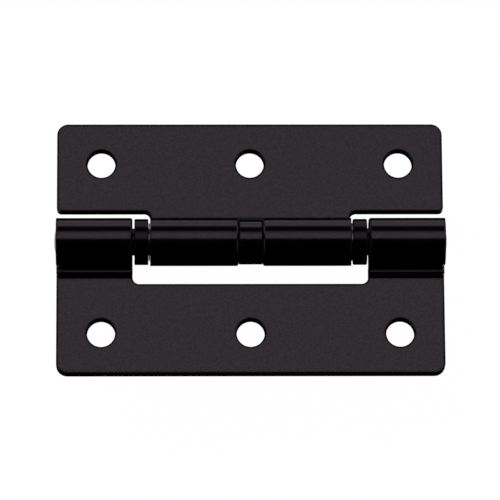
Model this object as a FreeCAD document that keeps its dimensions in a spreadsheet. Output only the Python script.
"""A steel torque hinge, 76 mm long and 51 mm wide, lying open and flat.

Two leaves of thick sheet are stepped forward beside the pin and curled round it. The lower leaf's two
outer curls hold the pin fast. The upper leaf's two inner curls grip the pin, and their drag holds the
leaves wherever they are left. Collars and thin washers fill the rest of the pin.

+X runs along the pin, +Y towards the upper leaf and +Z out of the front. The origin is under the middle
of the pin, in the plane of the leaves' back faces. Lengths are in millimetres.
"""
import FreeCAD, Part
import math
import os
import Sketcher

# Two places closer than this are the same place.
TOUCH = 0.01

# A step this long tells the inside of a piece from its outside.
PROBE = 0.02

# Faces that meet at less than this angle, in radians, form no sharp edge.
FLAT = 0.5

# Driving sizes: the name of each, its value and what it measures.
SIZES = [
    ("leaf_length", 76.0, "length of both leaves, along the pin"),
    ("leaf_reach", 25.5, "from the pin's axis to a leaf's free edge"),
    ("sheet", 2.0, "thickness of the leaves"),
    ("bore_radius", 2.7, "inside radius of the curls"),
    ("joggle_rise", 1.55, "how far a leaf steps forward beside the pin"),
    ("step_distance", 1.05, "from the side of a curl to the front of the step"),
    ("step_bend", 0.45, "radius of the step's outer bends"),
    ("step_crease", 0.5, "radius of the step's inner bends"),
    ("lip_gap", 0.1, "from a curl's free end to the leaf under it"),
    ("lip_relief", 0.4, "how far the outer curls' lips stop short of the leaf's ends"),
    ("arm_width", 14.9, "length of each outer curl, and width of the arm that carries it"),
    ("fold_clearance", 1.0, "what the window leaves free when the upper leaf folds back into it"),
    ("window_corner", 1.3, "radius in the window's corners"),
    ("ear_clearance", 1.2, "what the ears leave free behind the arms when the leaf folds back"),
    ("ear_corner", 0.9, "radius on the ears' inner corners"),
    ("ear_root", 1.2, "radius where an ear joins the root of the curls"),
    ("notch_clearance", 0.2, "from the middle collar's side to the end of the notch around it"),
    ("leaf_corner", 2.2, "radius on the leaves' free corners"),
    ("inner_rim", 0.45, "rounding of the inner curls beside the middle collar"),
    ("outer_rim", 0.3, "chamfer on the outer curls beside the side collars"),
    ("sheet_edge", 0.25, "chamfer that softens the sheet's front edges and the screw holes"),
    ("screw_diameter", 5.5, "screw holes, a medium fit on an M5 screw"),
    ("screw_end", 8.75, "from a leaf's end to its nearest screw hole"),
    ("screw_edge", 8.25, "from a leaf's free edge to its row of screw holes"),
    ("running_clearance", 0.05, "radial clearance of all that turns on the pin"),
    ("press_inset", 0.9, "how far the fitted ends of the pin stop short inside the outer curls"),
    ("dome_height", 0.35, "how far the pin's ends stand out of the curls"),
    ("washer_clearance", 0.05, "side clearance of each thin washer"),
    ("washer_thickness", 0.25, "thickness of the thin washers"),
    ("washer_drop", 1.05, "how far the thin washers lie below the curls' surface"),
    ("side_collar_length", 2.72, "length of the collars between outer and inner curls"),
    ("side_collar_drop", 0.2, "how far the side collars lie below the curls' surface"),
    ("side_collar_slit", 0.4, "from a side collar to the outer curl"),
    ("middle_collar_length", 4.66, "length of the collar between the inner curls"),
    ("middle_collar_drop", 0.3, "how far the middle collar lies below the curls' surface"),
    ("middle_clearance", 0.05, "from the middle collar to the curl beside it"),
    ("collar_edge", 0.15, "chamfer on the collars' rims"),
]

# Formulas for what follows from the driving sizes, on the pin and along it.
HALF_LENGTH = "(sizes.leaf_length / 2)"
WINDOW_HALF = "(sizes.leaf_length / 2 - sizes.arm_width)"
COLLAR_START = f"({WINDOW_HALF} - sizes.side_collar_slit - sizes.side_collar_length)"
WASHER_START = f"({COLLAR_START} - sizes.washer_clearance - sizes.washer_thickness)"
ROOT_HALF = f"({WASHER_START} - sizes.washer_clearance)"
NOTCH_HALF = "(sizes.middle_collar_length / 2 + sizes.middle_clearance)"
SHAFT_RADIUS = "(sizes.bore_radius - sizes.running_clearance)"
FITTED_START = f"({WINDOW_HALF} + sizes.press_inset)"
SCREW_PITCH = "(sizes.leaf_length / 2 - sizes.screw_end)"

# The same, across the leaves and out of them.
CURL_RADIUS = "(sizes.bore_radius + sizes.sheet)"
SIDE_COLLAR_RADIUS = f"({CURL_RADIUS} - sizes.side_collar_drop)"
MIDDLE_COLLAR_RADIUS = f"({CURL_RADIUS} - sizes.middle_collar_drop)"
WASHER_RADIUS = f"({CURL_RADIUS} - sizes.washer_drop)"
STRIP_FRONT = "(sizes.joggle_rise + sizes.sheet)"
AXIS_HEIGHT = f"({STRIP_FRONT} + sizes.bore_radius)"
LIP_HEIGHT = f"({STRIP_FRONT} + sizes.lip_gap)"
STEP_FRONT = f"({CURL_RADIUS} + sizes.step_distance)"
STEP_BACK = f"({STEP_FRONT} - sizes.sheet)"
WINDOW_EDGE = f"({AXIS_HEIGHT} + sizes.fold_clearance)"
EAR_EDGE = f"({AXIS_HEIGHT} + sizes.ear_clearance)"
NOTCH_END = f"({MIDDLE_COLLAR_RADIUS} + sizes.notch_clearance)"
SCREW_ROW = "(sizes.leaf_reach - sizes.screw_edge)"

doc = FreeCAD.newDocument("torque_hinge")
sizes = doc.addObject("Spreadsheet::Sheet", "sizes")


def fill_sheet():
    """Writes every driving size into the spreadsheet, under its own name."""
    for row, (name, size, note) in enumerate(SIZES, 1):
        sizes.set(f"A{row}", name)
        sizes.set(f"B{row}", str(size))
        sizes.set(f"C{row}", note)
        sizes.setAlias(f"B{row}", name)
    doc.recompute()


def value(formula):
    """The number that a formula gives with the sheet's sizes."""
    return sizes.evalExpression(formula)


def add_body(name):
    """An empty body, labelled with the sub-part's name."""
    body = doc.addObject("PartDesign::Body", name)
    body.Label = name
    return body


def add_sketch(body, name, plane_role):
    """A new sketch on one of the body's own origin planes."""
    sketch = body.newObject("Sketcher::SketchObject", name)
    plane = next(item for item in body.Origin.OriginFeatures if item.Role == plane_role)
    sketch.AttachmentSupport = [(plane, "")]
    sketch.MapMode = "FlatFace"
    return sketch


def constrain(sketch, kind, *where):
    """Adds one geometric constraint, such as Horizontal or Tangent."""
    sketch.addConstraint(Sketcher.Constraint(kind, *where))


def dimension(sketch, kind, where, formula):
    """Adds one dimension and binds it to a formula on the sheet."""
    index = sketch.addConstraint(Sketcher.Constraint(kind, *where, value(formula)))
    sketch.setExpression(f"Constraints[{index}]", formula)


def add_line(sketch, start, end):
    """A straight edge between two points of the sketch."""
    return sketch.addGeometry(Part.LineSegment(FreeCAD.Vector(*start), FreeCAD.Vector(*end)))


def add_arc(sketch, centre, radius, start, end):
    """An arc of a circle, anticlockwise from the start angle to the end angle."""
    circle = Part.Circle(FreeCAD.Vector(*centre), FreeCAD.Vector(0, 0, 1), radius)
    return sketch.addGeometry(Part.ArcOfCircle(circle, start, end))


def add_outline(sketch, edges):
    """A closed outline of upright and level edges.

    edges lists them in order: ("x", formula) is an upright edge at that x, and ("y", formula) a level
    edge at that y. Each edge ends where it meets the next one.
    """
    places = [value(formula) for _, formula in edges]
    corners = []
    for index, (way, _) in enumerate(edges):
        pair = (places[index], places[(index + 1) % len(edges)])
        corners.append(pair if way == "x" else pair[::-1])
    lines = [add_line(sketch, corners[i - 1], corners[i]) for i in range(len(edges))]
    for index, (way, formula) in enumerate(edges):
        constrain(sketch, "Coincident", lines[index - 1], 2, lines[index], 1)
        constrain(sketch, "Vertical" if way == "x" else "Horizontal", lines[index])
        kind = "DistanceX" if way == "x" else "DistanceY"
        dimension(sketch, kind, (-1, 1, lines[index], 1), formula)


def finish_pad(pad, sketch, length):
    """Sets up a pad that goes half its length to each side of the sketch."""
    pad.Profile = sketch
    pad.SideType = "Symmetric"
    pad.setExpression("Length", length)
    doc.recompute()


def finish_cut(body, pocket, sketch):
    """Cuts the sketch right through the body on both sides, and checks that something went."""
    before = body.Shape.Volume
    pocket.Profile = sketch
    pocket.Type = "ThroughAll"
    pocket.SideType = "Symmetric"
    doc.recompute()
    if body.Shape.Volume >= before:
        raise RuntimeError(f"{pocket.Name} cut nothing")


def edges_for(body, name, wanted):
    """The last feature of the body, and the names of its edges for which wanted(shape, edge) is true."""
    base = body.Tip
    names = [f"Edge{n}" for n, edge in enumerate(base.Shape.Edges, 1) if wanted(base.Shape, edge)]
    if not names:
        raise RuntimeError(f"{name} found no edge")
    return base, names


def round_edges(body, name, wanted, radius):
    """Rounds every edge of the body so far for which wanted(shape, edge) is true."""
    base, names = edges_for(body, name, wanted)
    rounding = body.newObject("PartDesign::Fillet", name)
    rounding.Base = (base, names)
    rounding.setExpression("Radius", radius)
    doc.recompute()


def bevel_edges(body, name, wanted, size):
    """Chamfers every edge of the body so far for which wanted(shape, edge) is true."""
    base, names = edges_for(body, name, wanted)
    bevel = body.newObject("PartDesign::Chamfer", name)
    bevel.Base = (base, names)
    bevel.setExpression("Size", size)
    doc.recompute()


def runs_along(edge, axis):
    """Is this a straight edge along the axis, 0 for X, 1 for Y and 2 for Z?"""
    if edge.Curve.TypeId != "Part::GeomLine":
        return False
    way = edge.Curve.Direction
    return abs(way[axis]) > 1 - TOUCH


def lies_at(edge, **place):
    """Are both ends of the edge at this place? A place such as x=3, z=2 may leave a coordinate out.

    x counts on both sides of the middle, because the hinge is the same on its left and its right.
    """
    for point in (edge.Vertexes[0].Point, edge.Vertexes[-1].Point):
        found = {"x": abs(point.x), "y": point.y, "z": point.z}
        if any(abs(found[name] - wanted) > TOUCH for name, wanted in place.items()):
            return False
    return True


def upright_at(x, y):
    """A test for the upright edges at a corner of the leaf's outline, on the left and the right."""
    return lambda shape, edge: runs_along(edge, 2) and lies_at(edge, x=value(x), y=value(y))


def is_arc(edge, radius):
    """Is this an arc or a circle of the radius that the formula gives?"""
    return edge.Curve.TypeId == "Part::GeomCircle" and abs(edge.Curve.Radius - value(radius)) < TOUCH


def curl_rim_at(x):
    """A test for the outer rims of the curls that end at x, on the left and the right."""

    def wanted(shape, edge):
        return is_arc(edge, CURL_RADIUS) and abs(abs(edge.Curve.Center.x) - value(x)) < TOUCH

    return wanted


def middle_of(edge):
    """The point half way along an edge."""
    return edge.valueAt((edge.FirstParameter + edge.LastParameter) / 2)


def is_sharp(shape, edge):
    """Do the edge's two faces meet at an outer corner of the piece?"""
    middle = middle_of(edge)
    faces = shape.ancestorsOfType(edge, Part.Face)
    if len(faces) != 2:
        return False
    outward = [face.normalAt(*face.Surface.parameter(middle)) for face in faces]
    if outward[0].getAngle(outward[1]) < FLAT:
        return False
    step = (outward[0] + outward[1]).normalize() * PROBE
    return shape.isInside(middle - step, 0, False) and not shape.isInside(middle + step, 0, False)


def add_section(sketch):
    """The side view of a leaf: flat sheet, step, strip under the pin, curl and lip, all of one sheet."""
    axis, bore, curl = value(AXIS_HEIGHT), value("sizes.bore_radius"), value(CURL_RADIUS)
    rise, thick, lip = value("sizes.joggle_rise"), value("sizes.sheet"), value(LIP_HEIGHT)
    reach = value("sizes.leaf_reach")
    front, back = value(STEP_FRONT), value(STEP_BACK)
    corners = [
        (0, rise), (-back, rise), (-back, 0), (-reach, 0), (-reach, thick),
        (-front, thick), (-front, rise + thick), (0, rise + thick),
    ]
    path = [add_line(sketch, start, end) for start, end in zip(corners, corners[1:])]
    strip_back, step_back, back_face, free_edge, front_face, step_front, strip_front = path
    inner = add_arc(sketch, (0, axis), bore, -math.pi / 2, math.pi)
    outer = add_arc(sketch, (0, axis), curl, -math.pi / 2, math.pi)
    lip_inside = add_line(sketch, (-bore, axis), (-bore, lip))
    lip_end = add_line(sketch, (-bore, lip), (-curl, lip))
    lip_outside = add_line(sketch, (-curl, lip), (-curl, axis))
    for first, second in zip(path, path[1:]):
        constrain(sketch, "Coincident", first, 2, second, 1)
    constrain(sketch, "Coincident", lip_inside, 2, lip_end, 1)
    constrain(sketch, "Coincident", lip_end, 2, lip_outside, 1)
    for line in (strip_back, back_face, front_face, strip_front, lip_end):
        constrain(sketch, "Horizontal", line)
    for line in (step_back, free_edge, step_front, lip_inside, lip_outside):
        constrain(sketch, "Vertical", line)
    constrain(sketch, "Tangent", strip_front, 2, inner, 1)
    constrain(sketch, "Tangent", inner, 2, lip_inside, 1)
    constrain(sketch, "Tangent", lip_outside, 2, outer, 2)
    constrain(sketch, "Tangent", outer, 1, strip_back, 1)
    constrain(sketch, "Coincident", inner, 3, outer, 3)
    constrain(sketch, "PointOnObject", inner, 3, -2)
    constrain(sketch, "PointOnObject", back_face, 1, -1)
    dimension(sketch, "DistanceY", (-1, 1, inner, 3), AXIS_HEIGHT)
    dimension(sketch, "Radius", (inner,), "sizes.bore_radius")
    dimension(sketch, "Radius", (outer,), CURL_RADIUS)
    dimension(sketch, "DistanceY", (-1, 1, lip_end, 1), LIP_HEIGHT)
    dimension(sketch, "DistanceX", (-1, 1, free_edge, 1), "-sizes.leaf_reach")
    dimension(sketch, "DistanceY", (-1, 1, front_face, 1), "sizes.sheet")
    dimension(sketch, "DistanceX", (-1, 1, step_front, 1), f"-{STEP_FRONT}")
    dimension(sketch, "DistanceX", (-1, 1, step_back, 1), f"-{STEP_BACK}")


def add_screw_holes(body, name):
    """A row of three screw holes through the flat of a leaf."""
    sketch = add_sketch(body, f"{name}_screw_sketch", "XY_Plane")
    place = FreeCAD.Vector(-value(SCREW_PITCH), -value(SCREW_ROW), 0)
    radius = value("sizes.screw_diameter / 2")
    circle = sketch.addGeometry(Part.Circle(place, FreeCAD.Vector(0, 0, 1), radius))
    dimension(sketch, "DistanceX", (-1, 1, circle, 3), f"-{SCREW_PITCH}")
    dimension(sketch, "DistanceY", (-1, 1, circle, 3), f"-{SCREW_ROW}")
    dimension(sketch, "Diameter", (circle,), "sizes.screw_diameter")
    hole = body.newObject("PartDesign::Pocket", f"{name}_screw_hole")
    finish_cut(body, hole, sketch)
    row = body.newObject("PartDesign::LinearPattern", f"{name}_screw_row")
    row.Originals = [hole]
    row.Direction = (sketch, ["H_Axis"])
    row.setExpression("Length", f"2 * {SCREW_PITCH}")
    row.Occurrences = 3
    body.Tip = row
    doc.recompute()


def add_leaf(name):
    """A leaf at its full length, with its screw holes. It reaches towards -Y in its own frame."""
    body = add_body(name)
    section = add_sketch(body, f"{name}_section", "YZ_Plane")
    add_section(section)
    finish_pad(body.newObject("PartDesign::Pad", f"{name}_sheet"), section, "sizes.leaf_length")
    add_screw_holes(body, name)
    round_edges(body, f"{name}_corners", upright_at(HALF_LENGTH, "-sizes.leaf_reach"), "sizes.leaf_corner")
    return body


def soften_leaf(body, name):
    """Gives a leaf that has its outline the bends of its step and its softened front edges."""
    front, back = -value(STEP_FRONT), -value(STEP_BACK)
    rise, thick = value("sizes.joggle_rise"), value("sizes.sheet")

    def bend(shape, edge):
        outside = lies_at(edge, y=front, z=rise + thick) or lies_at(edge, y=back, z=0)
        return runs_along(edge, 0) and outside

    def crease(shape, edge):
        inside = lies_at(edge, y=front, z=thick) or lies_at(edge, y=back, z=rise)
        return runs_along(edge, 0) and inside

    def front_edge(shape, edge):
        middle = middle_of(edge)
        on_flat = abs(middle.z - thick) < TOUCH and middle.y < front
        return on_flat and is_sharp(shape, edge)

    round_edges(body, f"{name}_bends", bend, "sizes.step_bend")
    round_edges(body, f"{name}_creases", crease, "sizes.step_crease")
    bevel_edges(body, f"{name}_front_edges", front_edge, "sizes.sheet_edge")


def make_lower_leaf():
    """The leaf with two arms. Their curls hold the ends of the pin, and the window lies between them."""
    body = add_leaf("lower_leaf")
    window = add_sketch(body, "window_sketch", "XY_Plane")
    add_outline(window, [
        ("x", f"-{WINDOW_HALF}"), ("y", "sizes.leaf_reach"),
        ("x", WINDOW_HALF), ("y", f"-{WINDOW_EDGE}"),
    ])
    finish_cut(body, body.newObject("PartDesign::Pocket", "window"), window)
    window_corners = upright_at(WINDOW_HALF, f"-{WINDOW_EDGE}")
    round_edges(body, "window_corners", window_corners, "sizes.window_corner")
    relieve_lips(body)
    soften_leaf(body, "lower_leaf")
    bevel_edges(body, "outer_curl_rims", curl_rim_at(WINDOW_HALF), "sizes.outer_rim")
    return body


def relieve_lips(body):
    """Cuts the free ends of the outer curls a little short of the leaf's ends."""
    sketch = add_sketch(body, "lip_relief_sketch", "XZ_Plane")
    inside = f"({HALF_LENGTH} - sizes.lip_relief)"
    for sign in ("-", ""):
        add_outline(sketch, [
            ("x", f"{sign}{inside}"), ("y", AXIS_HEIGHT),
            ("x", f"{sign}sizes.leaf_length"), ("y", STRIP_FRONT),
        ])
    before = body.Shape.Volume
    pocket = body.newObject("PartDesign::Pocket", "lip_relief")
    pocket.Profile = sketch
    pocket.Reversed = True
    pocket.setExpression("Length", f"{CURL_RADIUS} + sizes.sheet")
    doc.recompute()
    if body.Shape.Volume >= before:
        raise RuntimeError("lip_relief cut nothing")


def make_upper_leaf():
    """The leaf with two ears. Its two inner curls grip the pin, with a notch between them."""
    body = add_leaf("upper_leaf")
    sketch = add_sketch(body, "ear_sketch", "XY_Plane")
    for sign in ("-", ""):
        add_outline(sketch, [
            ("x", f"{sign}{ROOT_HALF}"), ("y", "sizes.leaf_reach"),
            ("x", f"{sign}sizes.leaf_length"), ("y", f"-{EAR_EDGE}"),
        ])
    add_outline(sketch, [
        ("x", f"-{NOTCH_HALF}"), ("y", "sizes.leaf_reach"),
        ("x", NOTCH_HALF), ("y", f"-{NOTCH_END}"),
    ])
    finish_cut(body, body.newObject("PartDesign::Pocket", "ears_and_notch"), sketch)
    round_edges(body, "ear_roots", upright_at(ROOT_HALF, f"-{EAR_EDGE}"), "sizes.ear_root")
    round_edges(body, "ear_corners", upright_at(HALF_LENGTH, f"-{EAR_EDGE}"), "sizes.ear_corner")
    soften_leaf(body, "upper_leaf")
    round_edges(body, "inner_curl_rims", curl_rim_at(NOTCH_HALF), "sizes.inner_rim")
    body.Placement = FreeCAD.Placement(FreeCAD.Vector(), FreeCAD.Rotation(180, 0, 0))
    return body


def make_pin():
    """The pin: fitted ends, a thinner shaft that the inner curls turn on, and a low dome at each end."""
    body = add_body("hinge_pin")
    sketch = add_sketch(body, "pin_outline", "XZ_Plane")
    half, press = value(HALF_LENGTH), value("sizes.bore_radius")
    shaft, dome = value(SHAFT_RADIUS), value("sizes.dome_height")
    step = value(FITTED_START)
    tip = half + dome
    ball = (press ** 2 + dome ** 2) / (2 * dome)
    slope = math.asin(press / ball)
    centre = tip - ball
    corners = [
        (-half, press), (-step, press), (-step, shaft), (step, shaft), (step, press), (half, press),
    ]
    path = [add_line(sketch, start, end) for start, end in zip(corners, corners[1:])]
    left_end, left_step, middle, right_step, right_end = path
    right_dome = add_arc(sketch, (centre, 0), ball, 0, slope)
    left_dome = add_arc(sketch, (-centre, 0), ball, math.pi - slope, math.pi)
    centre_line = add_line(sketch, (-tip, 0), (tip, 0))
    for first, second in zip(path, path[1:]):
        constrain(sketch, "Coincident", first, 2, second, 1)
    constrain(sketch, "Coincident", right_end, 2, right_dome, 2)
    constrain(sketch, "Coincident", right_dome, 1, centre_line, 2)
    constrain(sketch, "Coincident", centre_line, 1, left_dome, 2)
    constrain(sketch, "Coincident", left_dome, 1, left_end, 1)
    for line in (left_end, middle, right_end):
        constrain(sketch, "Horizontal", line)
    for line in (left_step, right_step):
        constrain(sketch, "Vertical", line)
    for where in ((centre_line, 1), (centre_line, 2), (left_dome, 3), (right_dome, 3)):
        constrain(sketch, "PointOnObject", *where, -1)
    dimension(sketch, "DistanceY", (-1, 1, left_end, 1), "sizes.bore_radius")
    dimension(sketch, "DistanceY", (-1, 1, right_end, 1), "sizes.bore_radius")
    dimension(sketch, "DistanceY", (-1, 1, middle, 1), SHAFT_RADIUS)
    for sign, end, fitted, tip_point in (("-", (left_end, 1), (left_step, 1), 1),
                                         ("", (right_end, 2), (right_step, 1), 2)):
        dimension(sketch, "DistanceX", (-1, 1, *end), f"{sign}{HALF_LENGTH}")
        dimension(sketch, "DistanceX", (-1, 1, *fitted), f"{sign}{FITTED_START}")
        dimension(sketch, "DistanceX", (-1, 1, centre_line, tip_point),
                  f"{sign}({HALF_LENGTH} + sizes.dome_height)")
    turned = body.newObject("PartDesign::Revolution", "pin_turned")
    turned.Profile = sketch
    turned.ReferenceAxis = (sketch, ["H_Axis"])
    turned.Angle = 360
    body.setExpression("Placement.Base.z", AXIS_HEIGHT)
    doc.recompute()
    return body


def make_ring(name, length, radius):
    """A plain ring on the pin's shaft, with the formulas of its length and of its outside radius."""
    body = add_body(name)
    sketch = add_sketch(body, f"{name}_outline", "YZ_Plane")
    for size in ("sizes.bore_radius", radius):
        round_line = Part.Circle(FreeCAD.Vector(), FreeCAD.Vector(0, 0, 1), value(size))
        circle = sketch.addGeometry(round_line)
        constrain(sketch, "Coincident", circle, 3, -1, 1)
        dimension(sketch, "Radius", (circle,), size)
    finish_pad(body.newObject("PartDesign::Pad", f"{name}_length"), sketch, length)
    body.setExpression("Placement.Base.z", AXIS_HEIGHT)
    doc.recompute()
    return body


def make_collar(name, length, radius):
    """A ring with bevelled outer rims."""
    body = make_ring(name, length, radius)
    bevel_edges(body, f"{name}_rims", lambda shape, edge: is_arc(edge, radius), "sizes.collar_edge")
    return body


def make_rings():
    """The middle collar, and on each side a collar and the thin washer between it and the inner curl."""
    rings = [make_collar("middle_collar", "sizes.middle_collar_length", MIDDLE_COLLAR_RADIUS)]
    for side, sign in (("left", "-"), ("right", "")):
        collar = make_collar(f"{side}_collar", "sizes.side_collar_length", SIDE_COLLAR_RADIUS)
        collar.setExpression("Placement.Base.x", f"{sign}({COLLAR_START} + sizes.side_collar_length / 2)")
        washer = make_ring(f"{side}_washer", "sizes.washer_thickness", WASHER_RADIUS)
        washer.setExpression("Placement.Base.x", f"{sign}({WASHER_START} + sizes.washer_thickness / 2)")
        rings += [collar, washer]
    doc.recompute()
    return rings


def write_parts(bodies):
    """Checks every object and every shape, then writes one file for each body."""
    failed = [obj.Name for obj in doc.Objects if {"Invalid", "Error"} & set(obj.State)]
    failed += [body.Label for body in bodies if body.Shape.isNull() or not body.Shape.isValid()]
    failed += [body.Label for body in bodies if len(body.Shape.Solids) != 1]
    if failed:
        raise RuntimeError("failed: " + ", ".join(failed))
    os.makedirs("parts", exist_ok=True)
    for body in bodies:
        body.Shape.exportStep(os.path.join("parts", f"{body.Label}.step"))
        print(body.Label, "volume", round(body.Shape.Volume, 2))


fill_sheet()
write_parts([make_lower_leaf(), make_upper_leaf(), make_pin(), *make_rings()])
